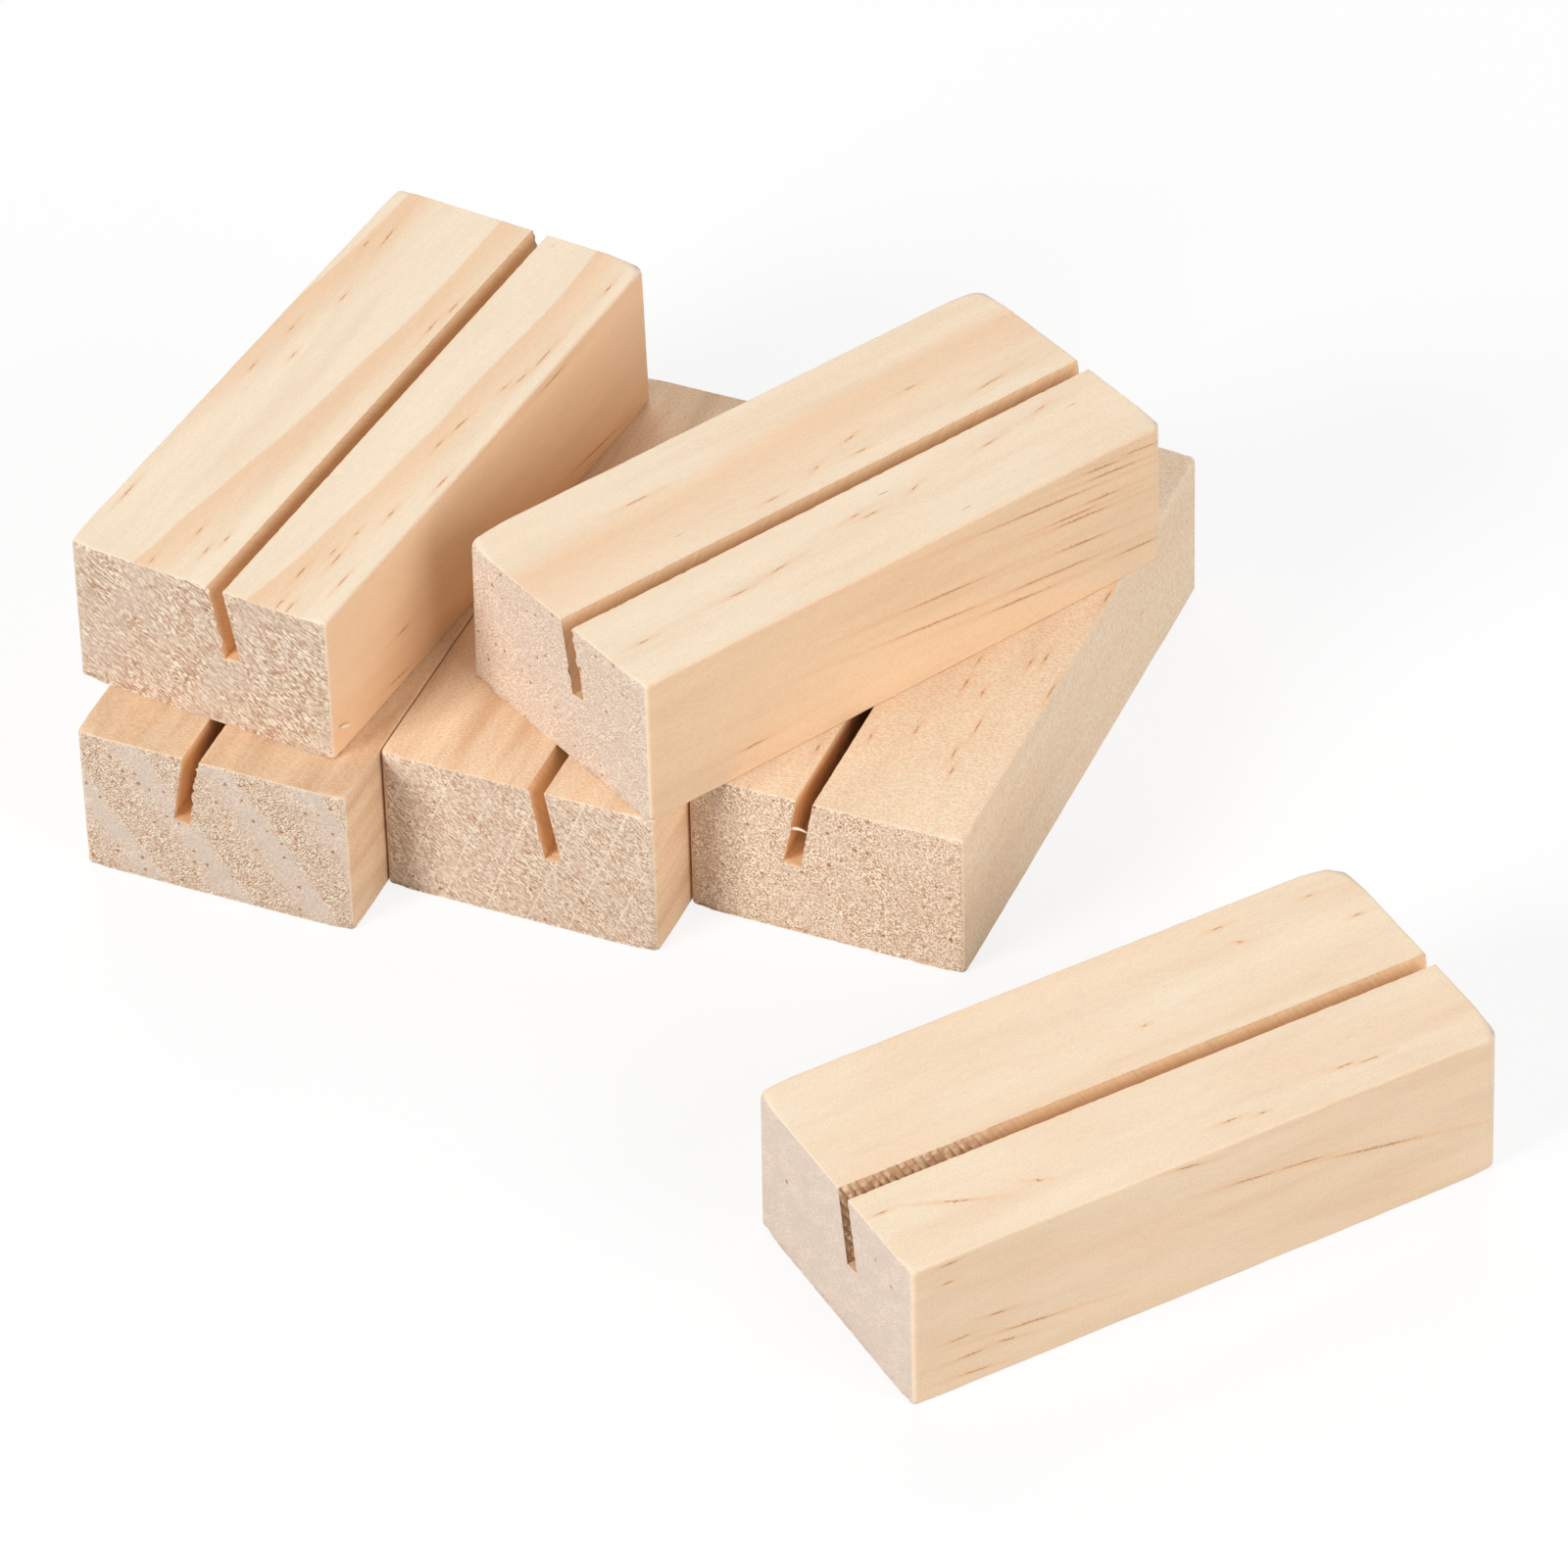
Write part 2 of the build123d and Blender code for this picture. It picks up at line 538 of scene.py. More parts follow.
CORNERS = "Near Left", "Near Right", "Far Left", "Far Right"
BLOCK_LENGTHS = (
    "Length", "Width", "Height", "Slot Width", "Slot Depth", "Slot From Left", "Edge Ease", "End Ease",
    "Corner Ease", *(f"Knock {corner}" for corner in CORNERS), "Knock Reach", "End Roughness", "Rim Tear",
    "Lip Fray", "Saw Chatter", "Chatter Reach", "Left Burr", "Right Burr", "Splinter Radius", "Fibre Length",
)
BLOCK_INPUTS = (
    *((name, "Float", "DISTANCE") for name in BLOCK_LENGTHS),
    *((name, "Float", "ANGLE") for name in ("Slot Lean", "Stroke Lean", "Turn")),
    *((f"Splinter {name}", "Vector", "TRANSLATION") for name in ("Start", "Middle", "End")),
    ("Corner", "Vector", "TRANSLATION"),
    *((name, "Float", None) for name in ("Saw Slant", "End Fibres", "Lip Fibres")),
    ("Seed", "Int", None),
    ("Material", "Material", None),
)


def blade_teeth(sheet, along, up, seed):
    """1 where the blade's teeth tore the slot's wall deepest, at a place on it in millimetres."""
    tooth = sheet.noise(sheet.xyz(along / 5, up / 12, 0), seed + 4) * 1.6 + along / 1.35
    tooth = abs(tooth.function("FRACT") - 0.5).over(0.26, 0.44)
    lump = sheet.noise(sheet.xyz(along / 1.5, up / 0.9, 0), seed + 6).over(0.42, 0.62)
    return tooth.most(lump * 0.8)


def chatter_fade(y, reach):
    """1 at the near end, where the blade chattered, and 0 past the reach of that."""
    return 1 - y.eased(reach * 0.45, reach)


def eased_box(sheet, given, place):
    """A place on the box drawn in to eased edges and knocked corners, and how far past them it was."""
    width, length, height = given["Width"], given["Length"], given["Height"]
    x, y, z = place
    flat = sheet.xyz(x, y, z)
    wear = sheet.noise(sheet.scaled(flat, 1 / WEAR_LUMP), given["Seed"], 3.0).over(0.25, 0.75) * 0.9 + 0.55
    knock = 0
    corner = 0
    for name, (from_x, from_y) in zip(CORNERS, ((0, 0), (width, 0), (0, length), (width, length))):
        away = ((x - from_x) ** 2 + (y - from_y) ** 2).function("SQRT")
        knock = given[f"Knock {name}"] * (1 - away.eased(0, given["Knock Reach"])) + knock
        corner = given["Corner Ease"] * (1 - away.eased(*CORNER_SPREAD)) + corner
    corner = knock * (z / height * 0.6 + 0.4) + corner
    side_ease = given["Edge Ease"] * wear
    end_ease = given["End Ease"] * wear
    radius = sheet.xyz(side_ease.most(corner), corner.most(end_ease), side_ease + knock * 0.35)
    furthest = sheet.vector("SUBTRACT", sheet.xyz(width, length, height), radius)
    inner = sheet.vector("MINIMUM", sheet.vector("MAXIMUM", flat, radius), furthest)
    outward = sheet.vector("SUBTRACT", flat, inner)
    reach = sheet.vector("LENGTH", sheet.vector("DIVIDE", outward, radius), output="Value")
    eased = sheet.vector("ADD", inner, sheet.scaled(outward, 1 / reach.most(1.0)))
    return sheet.split(eased), reach


def sawn_surface(sheet, given):
    """The block's closed skin: a gridded box whose columns dive into the slot, eased, knocked and torn."""
    length, width, height = given["Length"], given["Width"], given["Height"]
    depth, lean, seed = given["Slot Depth"], given["Slot Lean"], given["Seed"]
    lean_sine, lean_cosine = lean.function("SINE"), lean.function("COSINE")
    mouth = given["Slot Width"] / lean_cosine
    left_top = given["Slot From Left"] - mouth * 0.5
    right_top = width - left_top - mouth

    box = sheet.add(
        "GeometryNodeMeshCube",
        None,
        {
            "Size": (1, 1, 1),
            "Vertices X": ACROSS_STRIPS + 1,
            "Vertices Y": ALONG_STRIPS + 1,
            "Vertices Z": UP_STRIPS + 1,
        },
    )
    box_x, box_y, box_z = sheet.split(sheet.add("GeometryNodeInputPosition"))
    column = (box_x + 0.5) * ACROSS_STRIPS
    row = (box_z + 0.5) * UP_STRIPS
    share = box_y + 0.5

    # Where the columns reach each lip and each foot of the slot
    left_lip = LEFT_STRIPS
    left_foot = left_lip + WALL_STRIPS
    right_foot = left_foot + FLOOR_STRIPS
    right_lip = right_foot + WALL_STRIPS

    # Which faces the saw left, kept on the mesh for the pine
    _, facing_along, facing_up = sheet.split(sheet.add("GeometryNodeInputNormal"))
    on_top = facing_up > 0.5
    cut = (column > left_lip) * (column < right_lip) * on_top
    near_lips = abs(column - left_lip - 1.5) < 1.6
    near_lips = near_lips + (abs(column - right_lip + 1.5) < 1.6)
    box = sheet.store(box, "sawn_end", "FACE", abs(facing_along) > 0.5)
    box = sheet.store(box, "sawn_slot", "FACE", cut)
    box = sheet.store(box, "slot_lip", "FACE", cut * near_lips)

    # The box at its full size, with its columns down in the slot
    left = column.over(0, left_lip) ** CROWDING
    dive = column.over(left_lip, left_foot) ** CROWDING
    floor = column.over(left_foot, right_foot)
    climb = (1 - column.over(right_foot, right_lip)) ** CROWDING
    right = 1 - (1 - column.over(right_lip, ACROSS_STRIPS)) ** CROWDING
    low = row.over(0, LOW_STRIPS) ** CROWDING
    high = 1 - (1 - row.over(LOW_STRIPS, UP_STRIPS)) ** CROWDING
    slot_z = height - depth * dive.least(climb)
    z = (height - depth) * low + depth * high
    in_slot = z > slot_z - WELD
    z = z.least(slot_z)
    drop = height - z
    drift = drop.least(depth) * lean_sine / lean_cosine
    x = left * (left_top + drift) + floor * mouth + right * (right_top - drift)
    near = share.over(0, NEAR_SHARE) ** CROWDING
    middle = share.over(NEAR_SHARE, FAR_SHARE) * (length - NEAR_ZONE - FAR_ZONE)
    far = 1 - (1 - share.over(FAR_SHARE, 1)) ** CROWDING
    y = near * NEAR_ZONE + middle + far * FAR_ZONE
    z = z + (floor - 0.5) * mouth * lean_sine * (drop / depth).least(z / (height - depth))
    (x, y, z), reach = eased_box(sheet, given, (x, y, z))

    # Torn end grain, deepest along the underside where the saw broke out
    stroke_lean = given["Stroke Lean"]
    sine, cosine = stroke_lean.function("SINE"), stroke_lean.function("COSINE")
    strokes = x * cosine + z * sine, y, z * cosine - x * sine
    torn = sheet.lumps(strokes, (1.1 * MM, 40 * MM, 0.5 * MM), seed + 1).over(0.3, 0.7)
    torn = torn * given["End Roughness"]
    rim = sheet.noise(sheet.xyz(x / (1.3 * MM), share * 9, z / (3 * MM)), seed + 2).over(0.42, 0.72)
    torn = torn + rim * (1 - z.over(0, RIM_HEIGHT)) * given["Rim Tear"]
    y = y + ((share < WELD) - (share > 1 - WELD)) * torn

    # Saw marks down the walls of the slot, burrs where they meet the ends, and the lips' frayed edge
    slot_middle = (left_foot + right_foot) / 2
    left_wall = (column > left_lip + 0.5) * (column < slot_middle)
    right_wall = (column > slot_middle) * (column < right_lip - 0.5)
    along = y - (height - z) * given["Saw Slant"]
    scratch = sheet.lumps((along, x, z), (0.5 * MM, 9 * MM, 9 * MM), seed + 3)
    tooth = blade_teeth(sheet, along / MM, z / MM, seed)
    fade = chatter_fade(y, given["Chatter Reach"])
    gouge = scratch * SCRATCH_DEPTH + tooth * (fade + 0.12) * given["Saw Chatter"]
    x = x - left_wall * gouge + right_wall * scratch * SCRATCH_DEPTH
    burr = sheet.noise(sheet.xyz(z / (0.7 * MM), column, share * 5), seed + 7).over(0.4, 0.62)
    burr = burr * (left_wall * given["Left Burr"] - right_wall * given["Right Burr"])
    x = x + burr * in_slot * ((share < WELD) + (share > 1 - WELD))
    at_lip = (abs(column - left_lip) < 0.5) + (abs(column - right_lip) < 0.5)
    fray = sheet.noise(sheet.xyz(y / (0.8 * MM), column, 0), seed + 5).over(0.45, 0.8) * given["Lip Fray"]
    z = z - at_lip * (row > UP_STRIPS - 0.5) * fray

    # How far a point lies into an eased edge, for its pale wear and painted highlight
    box = sheet.store(box, "worn_edge", "POINT", reach.over(1.0, 1.3))
    box = sheet.add("GeometryNodeSetPosition", None, {"Geometry": box, "Position": sheet.xyz(x, y, z)})
    box = sheet.add("GeometryNodeMergeByDistance", None, {"Geometry": box, "Distance": WELD})
    bend = sheet.add("GeometryNodeInputMeshEdgeAngle", None, None, "Unsigned Angle")
    smooth = {"Geometry": box, "Shade Smooth": True}
    box = sheet.add("GeometryNodeSetShadeSmooth", {"domain": "FACE"}, smooth)
    crease = {"Geometry": box, "Selection": bend > CREASE, "Shade Smooth": False}
    return sheet.add("GeometryNodeSetShadeSmooth", {"domain": "EDGE"}, crease)


def fibre_sliver(sheet, given):
    """One torn fibre: a bent, tapered sliver with three sides, lying along x."""
    long = given["Fibre Length"]
    spine = sheet.add(
        "GeometryNodeCurveQuadraticBezier",
        None,
        {
            "Resolution": 4,
            "Start": sheet.xyz(long * -0.5, 0, long * -0.15),
            "Middle": sheet.xyz(long * 0.1, long * 0.12, long * 0.2),
            "End": sheet.xyz(long * 0.5, 0, long * 0.08),
        },
    )
    thin = 1 - sheet.add("GeometryNodeSplineParameter", None, None, "Factor") * 0.7
    return sheet.swept(spine, thin, sides=3, radius=FIBRE_RADIUS)


def lone_splinter(sheet, given):
    """One larger splinter that still hangs on, where the block has one."""
    points = {name: given[f"Splinter {name}"] for name in ("Start", "Middle", "End")}
    spine = sheet.add("GeometryNodeCurveQuadraticBezier", None, {"Resolution": 10, **points})
    thick = 1 - abs(sheet.add("GeometryNodeSplineParameter", None, None, "Factor") - 0.4)
    splinter = sheet.swept(spine, thick, sides=5, radius=given["Splinter Radius"])
    shown = {"Switch": given["Splinter Radius"] > 0.0, "True": splinter}
    return sheet.add("GeometryNodeSwitch", {"input_type": "GEOMETRY"}, shown)


def scattered_fibres(sheet, given, surface, sliver, where, density, salt, heading, spread, margin):
    """Slivers over the faces that hold an attribute, each near a heading and inside the block by a margin."""
    seed = given["Seed"] + salt
    points, normal = sheet.add(
        "GeometryNodeDistributePointsOnFaces",
        None,
        {"Mesh": surface, "Selection": sheet.stored(where) > 0.5, "Density": density, "Seed": seed},
        ("Points", "Normal"),
    )
    size = sheet.xyz(given["Width"], given["Length"], given["Height"])
    inside = sheet.vector("MAXIMUM", sheet.add("GeometryNodeInputPosition"), margin)
    inside = sheet.vector("MINIMUM", inside, sheet.vector("SUBTRACT", size, margin))
    points = sheet.add("GeometryNodeSetPosition", None, {"Geometry": points, "Position": inside})
    stray = sheet.chance(-spread, spread, seed + 1)
    angle = heading + stray
    pointing = sheet.xyz(angle.function("COSINE"), stray * 0.3, angle.function("SINE"))
    facing = sheet.add("FunctionNodeAlignRotationToVector", {"axis": "Z"}, {"Vector": normal})
    turned = {"Rotation": facing, "Vector": pointing}
    facing = sheet.add("FunctionNodeAlignRotationToVector", {"axis": "X", "pivot_axis": "Z"}, turned)
    grow = sheet.chance(0.5, 1.2, seed + 2)
    return sheet.add(
        "GeometryNodeInstanceOnPoints",
        None,
        {"Points": points, "Instance": sliver, "Rotation": facing, "Scale": sheet.xyz(grow, grow, grow)},
    )


def block_tree():
    """The tree that saws a block, tears its fibres and lays it in its place."""
    sheet = Sheet(bpy.data.node_groups.new("sawn_pine_block", "GeometryNodeTree"))
    given = sheet.interface(*BLOCK_INPUTS)
    surface = sawn_surface(sheet, given)
    sliver = fibre_sliver(sheet, given)
    reach = given["Fibre Length"] * 0.65
    on_ends = scattered_fibres(
        sheet,
        given,
        surface,
        sliver,
        where="sawn_end",
        density=given["End Fibres"],
        salt=10,
        heading=given["Stroke Lean"],
        spread=0.3,
        margin=sheet.xyz(reach, FIBRE_INSET, reach),
    )
    on_lips = scattered_fibres(
        sheet,
        given,
        surface,
        sliver,
        where="slot_lip",
        density=given["Lip Fibres"],
        salt=20,
        heading=given["Slot Lean"] * -1.0,
        spread=0.35,
        margin=sheet.xyz(reach, reach, reach),
    )
    pieces = [surface, on_ends, on_lips, lone_splinter(sheet, given)]
    whole = sheet.add("GeometryNodeJoinGeometry", None, {0: pieces})
    laid = sheet.add(
        "GeometryNodeTransform",
        None,
        {"Geometry": whole, "Translation": given["Corner"], "Rotation": sheet.xyz(0, 0, given["Turn"])},
    )
    real = sheet.add("GeometryNodeRealizeInstances", None, {"Geometry": laid})
    finished = sheet.add("GeometryNodeSetMaterial", None, {"Geometry": real, "Material": given["Material"]})
    sheet.add("NodeGroupOutput", None, {"Geometry": finished})
    return sheet.tree


def growth_rings(sheet, timber, axes, length):
    """How old each place is within its ring, from 0 to 1, and how far it is late wood."""
    x, y, z = axes
    heading = radians(timber.ring_heading)
    share = y / length
    bow = share * (1 - share) * (4 * timber.ring_sag)
    shift = share * (x * timber.ring_twist + timber.ring_drift) + bow
    wander = (sheet.lumps(axes, RING_WANDER, timber.seed, 1.0) - 0.5) * 2.0
    ring = x * cos(heading) + z * sin(heading) + shift + wander
    age = ((ring - timber.ring_start) / timber.ring_pitch).function("FRACT")
    late = age.eased(1 - timber.late_share * 1.25, 1 - timber.late_share * 0.05) ** 1.3
    return age, late * (1 - age.over(1 - timber.ring_edge / timber.ring_pitch, 1.0))


def nearest_fleck(sheet, point, flecks, place):
    """How far a point lies from the nearest resin streak, where 1 is the streak's own edge."""
    nearest = None
    for fleck in flecks:
        location, rotation, scale = place(fleck)
        settled = sheet.add(
            "ShaderNodeMapping",
            {"vector_type": "TEXTURE"},
            {"Vector": point, "Location": location, "Rotation": rotation, "Scale": scale},
        )
        distance = sheet.vector("LENGTH", settled, output="Value")
        nearest = nearest.least(distance) if nearest else distance
    return nearest


def resin_marks(sheet, timber, own, width, height, speck, dash):
    """Where resin streaks show on the faces, and where the wood beside them is stained."""
    x, y, z = sheet.split(own)
    across, along = DUCT_SPACING
    ducts, chance = sheet.cells(None, sheet.xyz(x / across + timber.seed, y / along, z / across))
    chosen = sheet.split(chance)[0] < timber.duct_share
    fleck = (1 - ducts.eased(0.03, 0.07)) * chosen * dash.over(0.35, 0.6)
    halo = fleck * 0.5
    ragged = sheet.xyz((speck - 0.5) * 0.5, (dash - 0.5) * 2, (speck - 0.5) * 0.5)
    ragged = sheet.vector("ADD", own, ragged)

    def on_top(f):
        return (f.across, f.along, height), (0, 0, -f.slant), (0.2, f.length / 2, 1.5)

    def on_side(f):
        return (width, f.along, height - f.across), (-f.slant, 0, 0), (1.5, f.length / 2, 0.2)

    for flecks, place in ((timber.top_flecks, on_top), (timber.side_flecks, on_side)):
        if flecks:
            mark = nearest_fleck(sheet, ragged, flecks, place)
            fleck = fleck.most(1 - mark.eased(0.3, 1.1))
            halo = (1 - mark.eased(0.4, 4.0)).most(halo)
    return fleck, halo


def sawn_end(sheet, timber, pine, axes, age, late, speck):
    """Colour of the ends and their relief: torn strokes, smoother and greyer late wood, and dots. The pale
    fibres and the dark gaps and pits between them are partly the wood's colour and partly painted highlight
    and painted shade.
    """
    x, y, z = axes
    seed = timber.seed
    lean = radians(timber.stroke_lean)
    strokes = x * cos(lean) + z * sin(lean), y, z * cos(lean) - x * sin(lean)
    gritty = 0.2 + timber.hatch * 0.4, 4, 0.22
    grit = sheet.lumps(strokes, gritty, seed + 7, 0.0).over(0.36, 0.64)
    brushed = sheet.lumps(strokes, BRUSHED, seed + 12, 0.0).over(0.36, 0.64)
    in_lines = min(timber.hatch * 1.5, 1.0)
    stroke = (grit + (brushed - grit) * in_lines).over(0.2 * in_lines, 1 - 0.2 * in_lines)
    pit = sheet.lumps(strokes, gritty, seed + 11, 0.0).over(0.66, 0.72)
    patch = sheet.lumps(strokes, END_PATCH, seed + 9, 1.0)
    smooth = late.over(0.2, 0.85) * timber.end_rings
    torn = (1 - smooth * 0.75) * (0.6 + patch.over(0.35, 0.6) * 0.4) * timber.fuzz
    ring_start = 1 - (age * timber.ring_pitch).over(0.12, 0.4)

    wood = sheet.mix(smooth.most(timber.end_grey), pine.end, pine.grey)
    # Pale standing fibres, dark gaps and darker pits: partly the wood's colour, partly painted highlight and
    # painted shade in place of deeper relief
    wood = sheet.mix(torn, wood, sheet.mix(stroke, pine.torn, pine.fibre))
    wood = sheet.mix(pit * torn * 0.6, wood, pine.pit)
    wood = sheet.mix(ring_start * timber.ring_line, wood, pine.worn)
    wood = sheet.scaled(wood, timber.end_light + (patch - 0.5) * 0.2)
    bore_place = sheet.xyz(x / BORE_SPACING + seed, z / BORE_SPACING, 0)
    bores, chance = sheet.cells({"voronoi_dimensions": "2D"}, bore_place)
    pick, breadth, _ = sheet.split(chance)
    bores = bores + (speck - 0.5) * 0.2 - breadth * 0.08
    dot = (1 - bores.eased(0.02, 0.12)) * (pick < timber.end_dots)
    wood = sheet.mix(dot * 0.85, wood, pine.pit)
    return wood, (stroke * 0.07 - pit * 0.08) * torn + speck * 0.03


def sawn_slot(sheet, timber, pine, axes, height, reach, wood):
    """Colour of the slot and its scratches, with painted shade in the gaps where the blade chattered and a
    painted highlight on the crests between them.
    """
    x, y, z = axes
    along = y - (height - z) * timber.saw_slant
    scratch = sheet.lumps((along, z, x), (0.3, 6, 6), timber.seed + 8)
    wood = sheet.scaled(sheet.mix(0.75, wood, pine.slot), 1 + (scratch - 0.5) * 0.4)
    if timber.chatter:
        teeth = blade_teeth(sheet, along, z, timber.seed)
        fade = chatter_fade(y, reach)
        # Painted shade in the gouges between the blade's teeth, and a painted highlight on their crests
        wood = sheet.mix(fade * teeth * 0.25, wood, pine.resin)
        wood = sheet.mix(fade * (1 - teeth) * 0.45, wood, pine.worn)
    return wood, scratch


def pine_material(name, timber, corner, turn):
    """Solid pine in one block's own frame, in millimetres, with sawn ends and a sawn slot."""
    settings = bpy.context.scene.photo_blocks
    size, pine = settings.block, settings.pine
    length, width, height = size.length / MM, size.width / MM, size.height / MM
    seed = timber.seed
    material = bpy.data.materials.new(f"pine_{name}")
    material.use_nodes = True
    material.node_tree.nodes.clear()
    sheet = Sheet(material.node_tree)

    place = sheet.add("ShaderNodeTexCoord", None, None, "Object")
    own = sheet.add(
        "ShaderNodeMapping",
        {"vector_type": "TEXTURE"},
        {"Vector": place, "Location": corner, "Rotation": (0, 0, turn), "Scale": (MM, MM, MM)},
    )
    axes = sheet.split(own)
    x, y, z = axes
    broken_rim = (1 - z.over(0.5, 1.0)) * (1 - y.least(length - y).over(0.6, 1.2))
    end = sheet.attribute("sawn_end").most(broken_rim)
    cut = sheet.attribute("sawn_slot")
    worn = sheet.attribute("worn_edge")
    loose = sheet.attribute("loose_fibre")

    # Grain that runs along the block, and the sander's marks across it
    age, late = growth_rings(sheet, timber, axes, length)
    streak = sheet.lumps(axes, STREAK, seed + 1, 3.0)
    dash = sheet.lumps(axes, DASH, seed + 2, 1.0)
    speck = sheet.noise(sheet.scaled(own, 1 / SPECK), seed + 3, 1.0)
    cloud = sheet.lumps(axes, CLOUD, seed + 4)
    ripple = sheet.lumps(axes, SANDER_RIPPLE, seed + 5, 1.0, 0.6)

    # Planed faces: rings and clouds, a warmer right side, tan streaks and raised nap, and painted shade on a
    # shaded right side and over a block in another's shade
    # The tan share is partly painted shade, for a block whose top lies in another's shade
    tone = late * timber.ring_contrast + timber.tan_share + (cloud - 0.5) * timber.cloudiness
    wood = sheet.mix(tone.over(0, 1), pine.early, pine.late)
    right_side = x.over(width - 0.8, width - 0.1)
    wood = sheet.mix((right_side * timber.side_warmth).most(timber.warmth), wood, pine.side)
    tan_streak = streak.over(0.5, 0.72) * timber.streaks
    # The right side's lean towards tan is partly painted shade, where a block close beside shades that side
    wood = sheet.mix((right_side * timber.side_tan).most(tan_streak), wood, pine.late)
    rough = ripple.over(0.38, 0.62)
    wood = sheet.mix((1 - rough) * timber.nap, wood, pine.late)
    wood = sheet.mix(rough * timber.nap * 0.6, wood, pine.worn)
    long_grain = (0.5 - streak) * (0.1 + timber.streaks * 0.35)
    # Brightness of the planed faces, which can also paint shade or light over a whole block
    wood = sheet.scaled(wood, timber.face_light + (long_grain + (dash - 0.5) * 0.1 + (speck - 0.5) * 0.16))

    # Resin streaks with their stain, and fine pores
    fleck, halo = resin_marks(sheet, timber, own, width, height, speck, dash)
    wood = sheet.mix(halo * 0.45, wood, pine.halo)
    pore = sheet.lumps(axes, PORE, seed + 10, 0.0).over(0.7, 0.8)
    wood = sheet.mix((fleck * 0.6).most(pore * 0.1), wood, pine.resin)

    # What the saw left, and edges and fibres that are worn pale, with a painted highlight along the eased
    # edges
    end_wood, end_relief = sawn_end(sheet, timber, pine, axes, age, late, speck)
    slot_wood, scratch = sawn_slot(sheet, timber, pine, axes, height, size.chatter_reach / MM, wood)
    wood = sheet.mix(cut, wood, slot_wood)
    wood = sheet.mix(end, wood, end_wood)
    # Pale worn edges, partly wear and partly a painted highlight, and pale loose fibres
    wood = sheet.mix((worn * 0.25).most(loose * 0.6), wood, pine.worn)

    # Relief in millimetres
    relief = streak * 0.015 + speck * 0.03 + dash * 0.02 + ripple * 0.1 * timber.nap
    relief = relief + end * (end_relief - relief) + cut * scratch * 0.08
    bumped = sheet.add("ShaderNodeBump", None, {"Strength": 0.8, "Distance": MM, "Height": relief})
    surface = sheet.add(
        "ShaderNodeBsdfPrincipled",
        None,
        {
            "Base Color": wood,
            "Roughness": 0.62 + end * 0.2 - (streak - 0.5) * 0.2,
            "Specular IOR Level": 0.3,
            "Normal": bumped,
        },
    )
    sheet.add("ShaderNodeOutputMaterial", None, {"Surface": surface})
    return material


def number_setting(name, description, default, **fitting):
    """A number that a user may change, with a unit or subtype where one fits."""
    return bpy.props.FloatProperty(name=name, description=description, default=default, **fitting)


def length_setting(name, description, default):
    return number_setting(name, description, default, unit="LENGTH")


def angle_setting(name, description, default):
    return number_setting(name, description, default, subtype="ANGLE")


def power_setting(name, description, default):
    return number_setting(name, description, default, unit="POWER")


def vector_setting(name, description, default, subtype):
    """Three numbers that a user may change together, such as a colour."""
    return bpy.props.FloatVectorProperty(name=name, description=description, default=default, subtype=subtype)


def colour_setting(name, description, *shown):
    return vector_setting(name, description, paint(*shown), "COLOR")


class BlockSettings(bpy.types.PropertyGroup):
    """Sizes of one block, all six are cut alike."""

    length: length_setting("Length", "From end to end", SQUARE_HIGH.y - SQUARE_LOW.y)
    width: length_setting("Width", "From side to side", SQUARE_HIGH.x - SQUARE_LOW.x)
    height: length_setting("Height", "From the underside to the top", SQUARE_HIGH.z - SQUARE_LOW.z)
    slot_width: length_setting("Slot Width", "Thickness of the saw cut", 2.8 * MM)
    slot_depth: length_setting("Slot Depth", "Straight down in the middle of the cut", 13.0 * MM)
    slot_lean: angle_setting("Slot Lean", "From upright", acos(SQUARE_SLOT["axis"][2]))
    slot_from_left: length_setting(
        "Slot From Left",
        "From the left side to the middle of the slot's mouth",
        SQUARE_SLOT["pos_m"][0] - SQUARE_LOW.x,
    )
    edge_ease: length_setting("Edge Ease", "Sanded radius of the long edges", 0.35 * MM)
    end_ease: length_setting("End Ease", "How far the ends' rims are worn", 0.2 * MM)
    corner_ease: length_setting("Corner Ease", "Sanded radius of the upright corners", 0.8 * MM)
    knock_reach: length_setting("Knock Reach", "How far a knocked corner spreads", 9.0 * MM)
    end_roughness: length_setting("End Roughness", "Depth of the torn end grain", 0.12 * MM)
    rim_tear: length_setting("Rim Tear", "Depth of the breakout under the ends", 0.8 * MM)
    lip_fray: length_setting("Lip Fray", "Depth of the chips along the slot's lips", 0.18 * MM)
    chatter_reach: length_setting(
        "Chatter Reach", "How far the blade's chatter runs into the slot", 34.0 * MM
    )
    fibre_length: length_setting("Fibre Length", "A torn fibre on an end or a lip", 0.8 * MM)
    splinter_radius: length_setting("Splinter Radius", "Half the thickness of a larger splinter", 0.3 * MM)
    end_fibres: number_setting("End Fibres", "Loose fibres in a square metre of sawn end", 550000.0)
    lip_fibres: number_setting(
        "Lip Fibres", "Loose fibres in a square metre beside the slot's lips", 500000.0
    )


